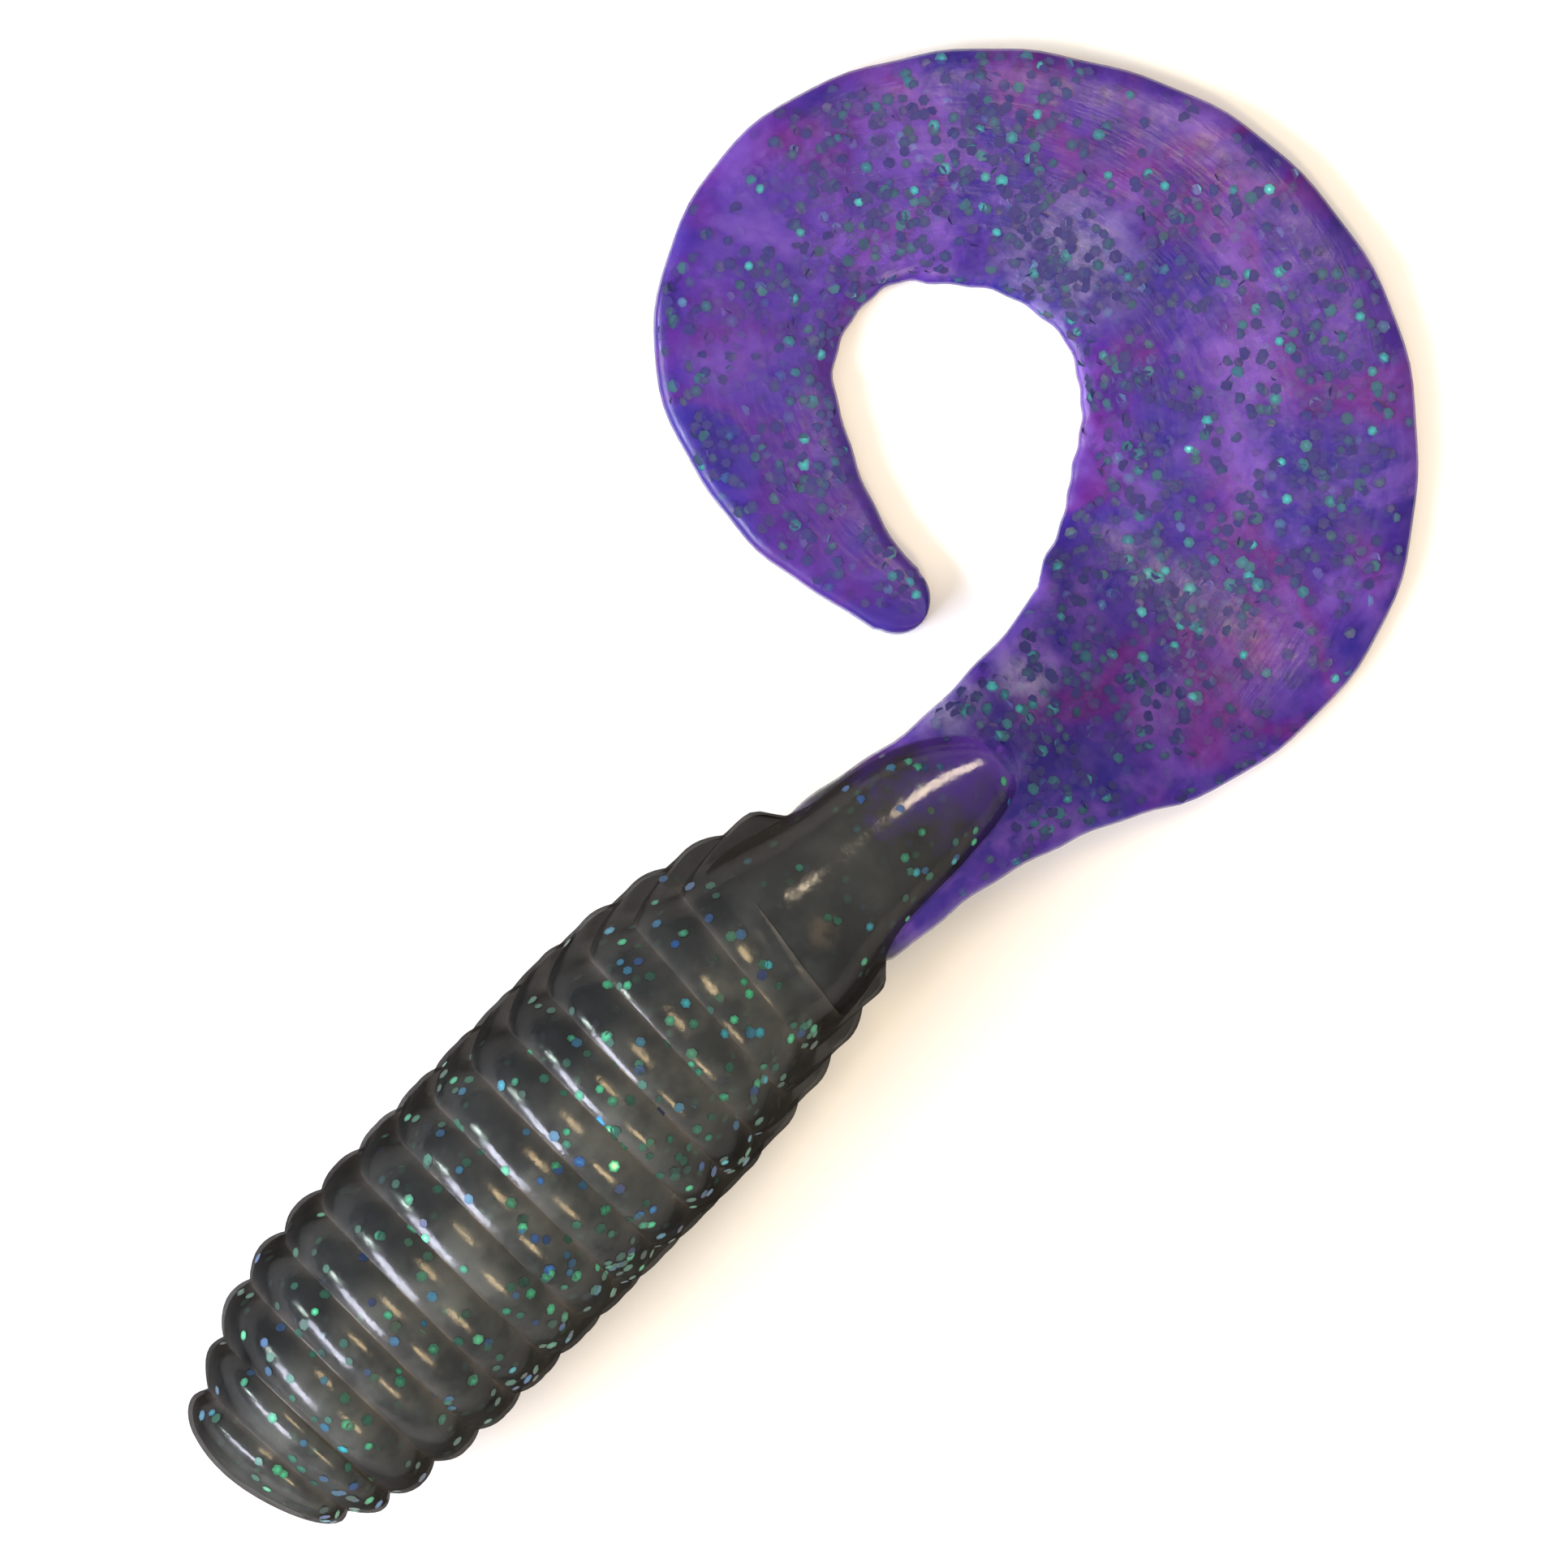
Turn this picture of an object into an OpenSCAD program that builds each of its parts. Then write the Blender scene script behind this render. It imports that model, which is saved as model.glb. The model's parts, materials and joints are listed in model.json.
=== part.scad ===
// Ribbed curly-tail grub, a soft plastic fishing bait, lying on its side.
// X runs from the nose to the tail, Z is up, and the tail curls in the XY plane.
// The soft plastic bends everywhere. Here it is cut into short segments, and each
// cut is a hinge of the bend.

/* [Body] */
// Length of the ribbed body, from the nose to the last groove
body_len = 34.4; // [30:0.1:40]
// Largest radius over the ribs
body_r = 5.85; // [5:0.05:7]
// Radius that the swelling behind the nose starts from
nose_r = 2.7; // [2:0.05:3.2]
// Radius of the flat face at the nose, where a jig head's collar butts
nose_flat_r = 1.5; // [1:0.1:2]
// Length of the rounded edge between the flat face and the nose rib's crest
nose_edge_len = 1.1; // [0.9:0.1:1.4]
// Length of the swelling behind the nose
front_taper = 11; // [8:0.5:14]
// Distance from the nose to the start of the rear taper
rear_taper_at = 24; // [20:0.5:28]
// Radius over the last rib
rear_r = 4; // [3.7:0.05:4.5]

/* [Ribs] */
// Length of the rounded first rib, which is the nose
nose_rib_len = 2.34; // [2:0.02:3]
// Number of ribs behind the nose rib
rib_count = 14; // [11:1:17]
// Depth of the grooves between the ribs
rib_depth = 0.38; // [0.2:0.02:0.6]

/* [Peg] */
// Radius of the smooth peg behind the ribs
peg_r = 3.15; // [2.8:0.05:3.3]
// Length of the peg
peg_len = 7.7; // [6.5:0.1:8.5]
// Angle of the peg in plan, away from the body's axis
peg_yaw = -8; // [-12:1:0]
// Angle of the peg below the body's axis
peg_dip = 9; // [4:1:14]

/* [Tail] */
// Thickness of the tail where it meets the body
root_t = 2.9; // [2.4:0.1:3.4]
// Thickness of the blade
blade_t = 1.25; // [1.1:0.05:1.6]
// Length over which the tail comes down from the body's axis to the surface
droop_len = 19; // [16:1:24]
// Angle in plan at which the tail leaves the body
tail_yaw = -9; // [-12:1:-4]
// Distance of the tail's start from the body's axis, sideways
tail_side = -0.65; // [-1.2:0.1:-0.4]
// Radius of the round tip
tip_r = 1.4; // [1.2:0.05:1.6]

/* [Flex] */
// Clear gap between two segments at their hinge line
cut_gap = 0.4; // [0.35:0.05:0.5]
// Slope of the faces at a cut through the body, each side of the hinge
body_cut_slope = 6; // [5:0.5:8]
// Slope of the outer faces at a cut that lets the curl open
curl_open_slope = 6.5; // [6:0.5:8]
// Slope of the inner faces at such a cut, which lets the curl close a little
curl_close_slope = 1.5; // [1:0.5:3]

/* [Glitter] */
// Width of a flake across its corners
flake_w = 0.56; // [0.4:0.02:0.6]
// Thickness of a flake
flake_t = 0.1; // [0.06:0.02:0.12]

/* [Hidden] */

round_fn = 64;
rib_steps = 8;                                     // outline points along a rib
nose_steps = 4;                                    // outline points down the nose rib
point_gap = 0.05;                                  // least spacing of outline points
axis_z = body_r;                                   // height of the body's axis
rib_pitch = (body_len - nose_rib_len) / rib_count;
golden_angle = 137.5;                              // spreads the flakes evenly
golden_ratio = 0.618;

// The grooves at which the body is cut into its four segments
front_cut = nose_rib_len + 3 * rib_pitch;
fore_cut = nose_rib_len + 7 * rib_pitch;
mid_cut = nose_rib_len + 11 * rib_pitch;

// Distances along the tail at which it is cut. The curl opens and closes at four of
// the cuts, and the blade flexes up and down at the others.
tail_cuts = [0, 10, 18, 27, 36, 44, 52, 60];
curl_cuts = [1, 2, 3, 5];
// The tail's plan path: length of each bend and the angle that it turns
bends = [[12.2, -3], [13.5, 63.5], [8.2, 44], [10.4, 50], [13, 99], [10, 37]];
tail_len = 66.5;                                   // to the centre of the round tip
// Widths of the blade, evenly spaced along the tail
width_step = 6;
widths = [7.0, 7.1, 9.7, 13.2, 13.5, 12.2, 10.4, 9.3, 8.3, 7.5, 5.8, 3.1];
rings_per_segment = 7;
tip_rings = 5;
// The blade's cross section: how far out as a part of the half width, and how high as
// a part of the thickness. The underside is flat.
section = [[-1, -0.05], [-0.96, -0.36], [-0.85, -0.5], [0, -0.5], [0.85, -0.5], [0.96, -0.36],
           [1, -0.05], [0.96, 0.3], [0.85, 0.42], [0, 0.5], [-0.85, 0.42], [-0.96, 0.3]];
section_low = 3;                                   // the middle of the underside
section_top = 9;                                   // the middle of the top

// Glitter
flake_count = 16;                                  // flakes in a segment, all colours
flake_margin = 1.3;                                // from a flake to a cut, along the part
body_flake_cover = 1;                              // from a flake to the bottom of a groove
body_flake_turn = [37, 71];                        // a flake's tilt and turn from the last one's
blade_flake_cover = 0.9;                           // from a flake's middle to the blade's edge
blade_layer_gap = 0.15;                            // between the three layers of flakes
blade_flake_tilt = 8;                              // of the flakes out of the blade's plane
blade_flake_shift = 0.21;                          // starts the spread across the blade
peg_flake_count = 6;
peg_flake_turn = [40, 25];
root_flake_count = 4;
root_flake_step = 1.2;
root_flake_cover = 0.45;                           // to the root's outer edge
dark_root_start = 4.5;                             // distances along the tail
teal_root_start = 5.1;

// ---- Body outline ------------------------------------------------------------

function clamp01(t) = min(1, max(0, t));
function ease(t) = t * t * (3 - 2 * t);
function frac(t) = t - floor(t);

// Radius over the rib crests at a distance from the nose
function crest_r(x) =
    nose_r + (body_r - nose_r) * pow(sin(90 * clamp01(x / front_taper)), 0.8)
    - (body_r - rear_r) * pow(clamp01((x - rear_taper_at) / (body_len - rear_taper_at)), 1.6);

// How far a point is across its rib, from -1 at one groove to 1 at the next
function across_rib(x) = 2 * frac((x - nose_rib_len) / rib_pitch) - 1;
function rib_surface_r(x) = crest_r(x) - rib_depth * pow(across_rib(x), 2);
function groove_r(x) = crest_r(x) - rib_depth;
function nose_rib_r(x) = crest_r(x) - rib_depth * pow(2 * x / nose_rib_len - 1, 2);

// Points of count whole ribs with the inner grooves, but without the two end grooves
function rib_run(x0, count) =
    [for (k = [0 : count - 1])
        each concat([for (j = [1 : rib_steps - 1])
                        let (x = x0 + (k + j / rib_steps) * rib_pitch) [rib_surface_r(x), x]],
                    k < count - 1
                        ? [let (x = x0 + (k + 1) * rib_pitch) [groove_r(x), x]]
                        : [])];

// A cut face falls away from the hinge line, so that the segments can bend
function cut_start(x, r) = x + cut_gap / 2 + r * tan(body_cut_slope);
function cut_end(x, r) = x - cut_gap / 2 - r * tan(body_cut_slope);

function inside(points, low, high) = [for (p = points) if (p[1] > low && p[1] < high) p];

// One segment of the body from groove x0 to groove x1
module ribbed_segment(x0, x1) {
    r0 = groove_r(x0);
    r1 = groove_r(x1);
    start = cut_start(x0, r0);
    end = cut_end(x1, r1);
    ribs = rib_run(x0, round((x1 - x0) / rib_pitch));
    revolved(concat([[0, x0 + cut_gap / 2], [rib_surface_r(start), start]],
                    inside(ribs, start + point_gap, end - point_gap),
                    [[rib_surface_r(end), end], [0, x1 - cut_gap / 2]]));
}

// Revolves an outline of [radius, distance] points about the body's axis
module revolved(points) {
    translate([0, 0, axis_z])
        rotate([0, 90, 0])
            rotate_extrude($fn = round_fn)
                polygon(points);
}

// ---- Tail path ---------------------------------------------------------------

// The point and heading after a distance d along a bend that starts at p
function along_bend(p, bend, d) =
    let (turn = bend[1] * d / bend[0], radius = bend[0] / bend[1] * 180 / PI)
    [p[0] + radius * (sin(p[2] + turn) - sin(p[2])),
     p[1] - radius * (cos(p[2] + turn) - cos(p[2])),
     p[2] + turn];

function tail_at(q, i = 0, p = [body_len, tail_side, tail_yaw]) =
    q <= bends[i][0] || i == len(bends) - 1
        ? along_bend(p, bends[i], q)
        : tail_at(q - bends[i][0], i + 1, along_bend(p, bends[i], bends[i][0]));

// Smooth curve through the evenly spaced widths
function width_row(i) = widths[min(len(widths) - 1, max(0, i))];
function blade_width(q) =
    let (i = floor(q / width_step), t = q / width_step - i,
         a = width_row(i - 1), b = width_row(i), c = width_row(i + 1), d = width_row(i + 2))
    q <= tail_len
        ? b + t * ((c - a) + t * ((2 * a - 5 * b + 4 * c - d) + t * (3 * b - a - 3 * c + d))) / 2
        : 2 * tip_r * sqrt(max(0.01, 1 - pow((q - tail_len) / tip_r, 2)));

function thickness(q) = blade_t + (root_t - blade_t) * exp(-q / 6);
function middle_z(q) =
    axis_z + (thickness(q) / 2 - axis_z) * ease(clamp01(q / droop_len));

// Slope of the tail at q, downwards
function dip_at(q) = atan((middle_z(q - 0.1) - middle_z(q + 0.1)) / 0.2);

// The blade's cross section at q. Its two halves may slope along the tail.
function blade_ring(q, outer_slope = 0, inner_slope = 0) =
    let (p = tail_at(q), half = blade_width(q) / 2, t = thickness(q), z = middle_z(q))
    [for (s = section)
        let (back = s[0] * half * (s[0] < 0 ? outer_slope : -inner_slope))
        [p[0] - sin(p[2]) * s[0] * half + cos(p[2]) * back,
         p[1] + cos(p[2]) * s[0] * half + sin(p[2]) * back,
         z + s[1] * t]];

// A closed solid through a list of rings, with each end in two flat halves
module lofted(rings) {
    n = len(section);
    last = (len(rings) - 1) * n;
    outer_half = [for (i = [section_top : n + section_low]) i % n];
    inner_half = [for (i = [section_low : section_top]) i];
    sides = [for (k = [0 : len(rings) - 2], i = [0 : n - 1])
        let (a = k * n + i, b = k * n + (i + 1) % n)
        each [[a, a + n, b + n], [a, b + n, b]]];
    polyhedron(
        points = [for (ring = rings) each ring],
        faces = concat(sides, [outer_half, inner_half],
                       [for (half = [outer_half, inner_half])
                           [for (i = [len(half) - 1 : -1 : 0]) last + half[i]]]));
}

function is_curl(cut) = len(search(cut, curl_cuts)) > 0;
function open_slope(cut) = is_curl(cut) ? tan(curl_open_slope) : 0;
function close_slope(cut) = is_curl(cut) ? tan(curl_close_slope) : 0;

// Rings of tail segment i, from its cut to the next
function segment_rings(i) =
    let (from = tail_cuts[i] + cut_gap / 2, to = tail_cuts[i + 1] - cut_gap / 2)
    [for (k = [0 : rings_per_segment - 1])
        let (q = from + (to - from) * k / (rings_per_segment - 1))
        k == 0 ? blade_ring(q, -open_slope(i), -close_slope(i))
        : k == rings_per_segment - 1 ? blade_ring(q, open_slope(i + 1), close_slope(i + 1))
        : blade_ring(q)];

// Rings of the last segment, which ends in the round tip
function tip_segment_rings(i) =
    let (from = tail_cuts[i] + cut_gap / 2)
    concat([for (k = [0 : rings_per_segment - 1])
               blade_ring(from + (tail_len - from) * k / (rings_per_segment - 1))],
           [for (k = [1 : tip_rings])
               blade_ring(tail_len + tip_r * 0.99 * sin(90 * k / tip_rings))]);

// The plan box of the whole part puts the origin under its middle
tail_edge = [for (q = [0 : 0.25 : tail_len + tip_r])
    let (p = tail_at(q), half = blade_width(q) / 2)
    each [[p[0] - sin(p[2]) * half, p[1] + cos(p[2]) * half],
          [p[0] + sin(p[2]) * half, p[1] - cos(p[2]) * half]]];
high_x = max([for (p = tail_edge) p[0]]);
low_y = min([for (p = tail_edge) p[1]]);
high_y = max([for (p = tail_edge) p[1]]);

module placed() {
    translate([-high_x / 2, -(low_y + high_y) / 2, 0]) children();
}

// ---- Body segments -------------------------------------------------------------

module body_front() {
    r1 = groove_r(front_cut);
    end = cut_end(front_cut, r1);
    edge_rise = nose_rib_r(nose_edge_len) - nose_flat_r;
    slope_len = nose_rib_len - nose_edge_len;
    color("dimgray") placed()
        revolved(concat(
            [[0, 0], [nose_flat_r, 0]],
            [for (a = [15 : 15 : 90])
                [nose_flat_r + edge_rise * sin(a), nose_edge_len * (1 - cos(a))]],
            [for (k = [1 : nose_steps])
                let (x = nose_edge_len + slope_len * k / nose_steps) [nose_rib_r(x), x]],
            inside(rib_run(nose_rib_len, 3), 0, end - point_gap),
            [[rib_surface_r(end), end], [0, front_cut - cut_gap / 2]]));
}

module body_fore() {
    color("dimgray") placed() ribbed_segment(front_cut, fore_cut);
}

module body_mid() {
    color("dimgray") placed() ribbed_segment(fore_cut, mid_cut);
}

module body_rear() {
    color("dimgray") placed() ribbed_segment(mid_cut, body_len);
}

// ---- Tail ----------------------------------------------------------------------

module peg_solid() {
    start = cut_gap / 2;
    edge = start + peg_r * tan(body_cut_slope);
    bullet_at = 0.45;                              // part of the length where the end rounds
    translate([body_len, tail_side / 2, axis_z])
        rotate([0, peg_dip, peg_yaw])
            rotate([0, 90, 0])
                rotate_extrude($fn = round_fn)
                    polygon(concat(
                        [[0, start], [peg_r, edge]],
                        [for (a = [0 : 10 : 90])
                            [peg_r * cos(a), peg_len * (bullet_at + (1 - bullet_at) * sin(a))]]));
}

module tail_peg() {
    color("dimgray") placed() peg_solid();
}

// The root is moulded round the peg, so its socket is the peg's own shape
module tail_root() {
    color("mediumorchid") placed() difference() {
        lofted(segment_rings(0));
        peg_solid();
    }
}

module blade(i) {
    color("mediumorchid") placed() lofted(segment_rings(i));
}

module blade_tip() {
    color("mediumorchid") placed() lofted(tip_segment_rings(len(tail_cuts) - 1));
}

// ---- Glitter -------------------------------------------------------------------

module flake(tilt, turn) {
    rotate([tilt, 0, turn])
        cylinder(d = flake_w, h = flake_t, center = true, $fn = 6);
}

// Flakes number first, first + step and so on of the body between x0 and x1
module body_flakes(x0, x1, first, step) {
    from = x0 + flake_margin;
    length = x1 - x0 - 2 * flake_margin;
    for (i = [first : step : flake_count - 1]) {
        x = from + length * (i + 0.5) / flake_count;
        angle = i * golden_angle;
        r = (groove_r(x) - body_flake_cover) * (0.45 + 0.5 * frac(i * golden_ratio));
        translate([x, r * cos(angle), axis_z + r * sin(angle)])
            rotate([0, 0, angle])
                flake(i * body_flake_turn[0], i * body_flake_turn[1]);
    }
}

// The peg's flakes lie on a spiral inside it, all of one colour
module peg_flakes() {
    translate([body_len, tail_side / 2, axis_z])
        rotate([0, peg_dip, peg_yaw])
            for (i = [0 : peg_flake_count - 1])
                rotate([i * golden_angle, 0, 0])
                    translate([peg_len * (0.16 + 0.1 * i), 0, peg_r * (0.5 - 0.04 * i)])
                        flake(i * peg_flake_turn[0], i * peg_flake_turn[1]);
}

// Flakes number first, first + 2 and so on of the blade from distance q0 to q1
module blade_flakes(q0, q1, first) {
    from = q0 + flake_margin;
    length = q1 - q0 - 2 * flake_margin;
    for (i = [first : 2 : flake_count - 1]) {
        q = from + length * (i + 0.5) / flake_count;
        p = tail_at(q);
        across = 2 * frac(i * golden_ratio + blade_flake_shift) - 1;
        v = across * (blade_width(q) / 2 - blade_flake_cover);
        layer = i % 3 - 1;
        translate([p[0] - sin(p[2]) * v, p[1] + cos(p[2]) * v,
                   middle_z(q) + layer * blade_layer_gap])
            rotate([0, dip_at(q), p[2]])
                flake(layer * blade_flake_tilt, i * body_flake_turn[1]);
    }
}

// In the root the flakes lie along the outer fin, clear of the peg's socket
module root_flakes(first_q) {
    for (i = [0 : root_flake_count - 1]) {
        q = first_q + root_flake_step * i;
        p = tail_at(q);
        v = root_flake_cover - blade_width(q) / 2;
        translate([p[0] - sin(p[2]) * v, p[1] + cos(p[2]) * v, middle_z(q)])
            rotate([0, dip_at(q), p[2]])
                flake(0, 30 * i);
    }
}

function tail_end(i) = i < len(tail_cuts) - 1 ? tail_cuts[i + 1] : tail_len;

module green_flakes(x0, x1) { color("limegreen") placed() body_flakes(x0, x1, 0, 2); }
module teal_flakes(x0, x1) { color("turquoise") placed() body_flakes(x0, x1, 1, 4); }
module blue_flakes(x0, x1) { color("royalblue") placed() body_flakes(x0, x1, 3, 4); }
module green_peg_flakes() { color("limegreen") placed() peg_flakes(); }
module dark_root_flakes() { color("midnightblue") placed() root_flakes(dark_root_start); }
module teal_root_flakes() { color("darkcyan") placed() root_flakes(teal_root_start); }

module dark_flakes(i) {
    color("midnightblue") placed() blade_flakes(tail_cuts[i], tail_end(i), 0);
}

module teal_tail_flakes(i) {
    color("darkcyan") placed() blade_flakes(tail_cuts[i], tail_end(i), 1);
}

body_front();
body_fore();
body_mid();
body_rear();
tail_peg();
tail_root();
blade(1);  // blade_1
blade(2);  // blade_2
blade(3);  // blade_3
blade(4);  // blade_4
blade(5);  // blade_5
blade(6);  // blade_6
blade_tip();
green_flakes(nose_rib_len, front_cut);  // green_flakes_front
green_flakes(front_cut, fore_cut);  // green_flakes_fore
green_flakes(fore_cut, mid_cut);  // green_flakes_mid
green_flakes(mid_cut, body_len);  // green_flakes_rear
green_peg_flakes();  // green_flakes_peg
teal_flakes(nose_rib_len, front_cut);  // teal_flakes_front
teal_flakes(front_cut, fore_cut);  // teal_flakes_fore
teal_flakes(fore_cut, mid_cut);  // teal_flakes_mid
teal_flakes(mid_cut, body_len);  // teal_flakes_rear
blue_flakes(nose_rib_len, front_cut);  // blue_flakes_front
blue_flakes(fore_cut, mid_cut);  // blue_flakes_mid
dark_root_flakes();  // dark_flakes_root
dark_flakes(1);  // dark_flakes_1
dark_flakes(2);  // dark_flakes_2
dark_flakes(3);  // dark_flakes_3
dark_flakes(4);  // dark_flakes_4
dark_flakes(5);  // dark_flakes_5
dark_flakes(6);  // dark_flakes_6
dark_flakes(7);  // dark_flakes_tip
teal_root_flakes();  // teal_flakes_root
teal_tail_flakes(1);  // teal_flakes_1
teal_tail_flakes(2);  // teal_flakes_2
teal_tail_flakes(3);  // teal_flakes_3
teal_tail_flakes(4);  // teal_flakes_4
teal_tail_flakes(5);  // teal_flakes_5
teal_tail_flakes(6);  // teal_flakes_6
teal_tail_flakes(7);  // teal_flakes_tip
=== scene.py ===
import json
import math
import random

import bpy
import numpy as np
from mathutils import Matrix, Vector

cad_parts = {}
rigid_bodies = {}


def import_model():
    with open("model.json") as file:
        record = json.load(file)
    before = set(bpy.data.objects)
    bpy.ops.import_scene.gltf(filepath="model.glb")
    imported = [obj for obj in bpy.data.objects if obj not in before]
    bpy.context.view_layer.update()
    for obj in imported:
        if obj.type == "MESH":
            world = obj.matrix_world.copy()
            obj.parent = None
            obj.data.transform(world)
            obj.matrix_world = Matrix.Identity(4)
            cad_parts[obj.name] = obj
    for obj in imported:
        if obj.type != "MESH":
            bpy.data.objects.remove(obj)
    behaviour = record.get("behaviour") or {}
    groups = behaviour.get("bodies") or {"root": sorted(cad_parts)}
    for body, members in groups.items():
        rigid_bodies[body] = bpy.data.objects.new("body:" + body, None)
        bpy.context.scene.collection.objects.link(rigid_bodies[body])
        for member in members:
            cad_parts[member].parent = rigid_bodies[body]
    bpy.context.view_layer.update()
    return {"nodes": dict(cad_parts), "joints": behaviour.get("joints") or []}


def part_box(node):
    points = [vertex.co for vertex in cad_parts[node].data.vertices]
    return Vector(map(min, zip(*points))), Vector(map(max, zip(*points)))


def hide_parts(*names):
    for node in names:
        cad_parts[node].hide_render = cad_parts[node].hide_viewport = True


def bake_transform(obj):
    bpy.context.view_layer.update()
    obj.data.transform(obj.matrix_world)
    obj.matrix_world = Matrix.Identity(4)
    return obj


# A ribbed curly-tail grub of soft plastic, lying on its side. The body is smoke plastic and
# the tail violet. Each is built as a clear glossy skin over a cloudy core, with glitter
# between and on them. Lengths are in mm: x from the nose, y from the body's axis, z from
# the floor. row() turns them into the frame's metres.

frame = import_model()

MM = 0.001
JOINTS = {j["name"]: j for j in frame["joints"]}
NOSE_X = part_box("body_front")[0].x
AXIS_Y = JOINTS["front_bend"]["pos_m"][1]
AXIS_Z = JOINTS["front_bend"]["pos_m"][2] / MM
dice = random.Random(7)


def row(points):
    """Points in mm from the nose, the axis and the floor, as metres in the row frame."""
    return np.asarray(points, float) * MM + np.array([NOSE_X, AXIS_Y, 0.0])


def clamp01(t):
    return min(1.0, max(0.0, t))


def ease(t):
    return t * t * (3 - 2 * t)


def bump(t, middle, reach):
    """A smooth bump of height 1 at the middle."""
    return math.exp(-((t - middle) / reach) ** 2)


# ---- Body shape --------------------------------------------------------------------------

BODY_LEN = 34.4
BODY_R = 5.85           # radii over the crests, at the middle, the nose and the rear
NOSE_R = 2.7
REAR_R = 4.0
FRONT_TAPER = 11.0      # the nose widens to the full radius over this length
REAR_TAPER_AT = 24.0    # and the rear narrows from here
NOSE_CAP_R = 3.8        # radius and length of the round cap in front of the first groove
NOSE_CAP = 2.05
NOSE_RIB = 2.34         # place of the first groove
RIBS = 14
RIB_PITCH = (BODY_LEN - NOSE_RIB) / RIBS
RIB_DEPTH = 0.38        # from a crest to a groove
RIB_STEPS = 12          # rings of the mesh in a rib
NOSE_RINGS = 14
END_TURN_IN = 0.6       # the last ring's size, as a share of the one before
NOSE_STEP = 0.8         # how far the ribs over the nose are stepped, 0 to 1
RIB_SHIFT = -0.62       # from the first rib on, the ribs sit this much nearer the nose
ROUND = 144             # points round a ring
BOW_END = 0.42          # the grooves run straight over a face, and bend only near its edges
RAKE = 3.3              # the last groove is this much further forward on the two faces
RAKE_FROM = 7.0         # the rake grows from here to the last groove
PARTING = math.radians(8)       # the mould's parting line, rolled towards the viewer
PARTING_RISE = 0.06
PARTING_WIDTH = 0.035           # in radians
NOSE_FLAT = 0.24        # how much flatter the nose's tip is than a round one
FACE_STEP = 0.18        # the far face's ribs sit this far from the near face's
NOSE_SWAY = 0.44        # how far the axis lies off the middle, at the nose and the rear
REAR_SWAY = 0.42
FACE_FADE = 0.15        # share of the grooves' depth that is missing on the two faces
REAR_FADE = 0.35        # and the further share missing there near the peg
NOSE_LEAN = -0.36       # how far back the rings lean at the +Y side, at the nose and the rear
REAR_LEAN = 0.65
LAST_FLANK = 33.3       # the last rib falls to the peg's radius from here
PEG_LIP = 0.04          # it ends just over the peg on the two faces,
PEG_SINK = 0.03         # and this far inside the peg at the sides


def crest_r(u):
    """Radius over the crests of the ribs."""
    swell = math.sin(math.radians(90 * clamp01(u / FRONT_TAPER))) ** 0.8
    taper = clamp01((u - REAR_TAPER_AT) / (BODY_LEN - REAR_TAPER_AT)) ** 1.6
    return NOSE_R + (BODY_R - NOSE_R) * swell - (BODY_R - REAR_R) * taper


def rib_r(u, depth):
    """Radius of the ribbed surface: round ribs that meet in sharp grooves."""
    if u < NOSE_RIB:
        round_end = 1 - (1 - min(u, NOSE_CAP) / NOSE_CAP) ** 2
        fall = 0.2 * clamp01((u - 1.7) / 0.64) ** 2
        return NOSE_CAP_R * max(0.0, round_end) ** 0.55 - fall
    turn = (u - NOSE_RIB) / RIB_PITCH
    part = turn - math.floor(turn + 1e-9)
    across = 2 * part - 1
    # Over the nose the ribs are stepped: each rises at its front and is level behind
    step = NOSE_STEP * clamp01((12 - u) / 3) * (1 - max(0.0, 1 - part) ** 2.2 - part)
    return crest_r(u + step * RIB_PITCH) - depth * across * across


def axis_shift(x):
    """Sideways place of the body's axis, which turns a little towards the tail."""
    rear = clamp01((x - 25.5) / 8.9)
    return -REAR_SWAY * rear * rear - NOSE_SWAY * bump(x, 2.6, 2.3)


def body_point(u, angle, inset, depth):
    """A point of the ribbed surface. The grooves rake forward from the parting line."""
    side = math.cos(angle)
    face = math.sin(angle - PARTING)
    on_face = ease(clamp01((abs(face) - 0.15) / 0.35))      # 0 along the parting line
    depth *= 1 - on_face * (FACE_FADE + REAR_FADE * clamp01((u - 25) / 7))
    radius = rib_r(u, depth)
    off_line = math.asin(max(-1.0, min(1.0, face)))
    if u > 0.5:
        radius += PARTING_RISE * math.exp(-(off_line / PARTING_WIDTH) ** 2)
    share = radius / max(crest_r(u), 0.1)

    rake = RAKE * clamp01((u - RAKE_FROM) / (BODY_LEN - RAKE_FROM))
    bow = 1 - (1 - min(1.0, abs(face) / BOW_END)) ** 2
    lean = NOSE_LEAN * clamp01(1 - u / 8) + REAR_LEAN * clamp01((u - 22) / 12.4) ** 1.5
    far = ease(clamp01(0.5 - off_line / 0.1))               # 1 on the far face
    x = u - rake * bow * share + lean * side * share
    x += NOSE_FLAT * clamp01(1 - u / 1.9)
    x += FACE_STEP * far * clamp01(u / 6) + RIB_SHIFT * ease(clamp01((u - NOSE_RIB) / 3))

    run_out = ease(clamp01((u - LAST_FLANK) / (BODY_LEN - LAST_FLANK)))
    radius += run_out * (peg_r(x) + PEG_LIP * on_face - PEG_SINK - radius)
    radius = max(0.0, radius - inset)
    if inset:
        x = max(x, 0.0) + inset * clamp01(1 - u / 2)
    return [x, axis_shift(x) + radius * side, AXIS_Z + radius * math.sin(angle)]


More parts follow.
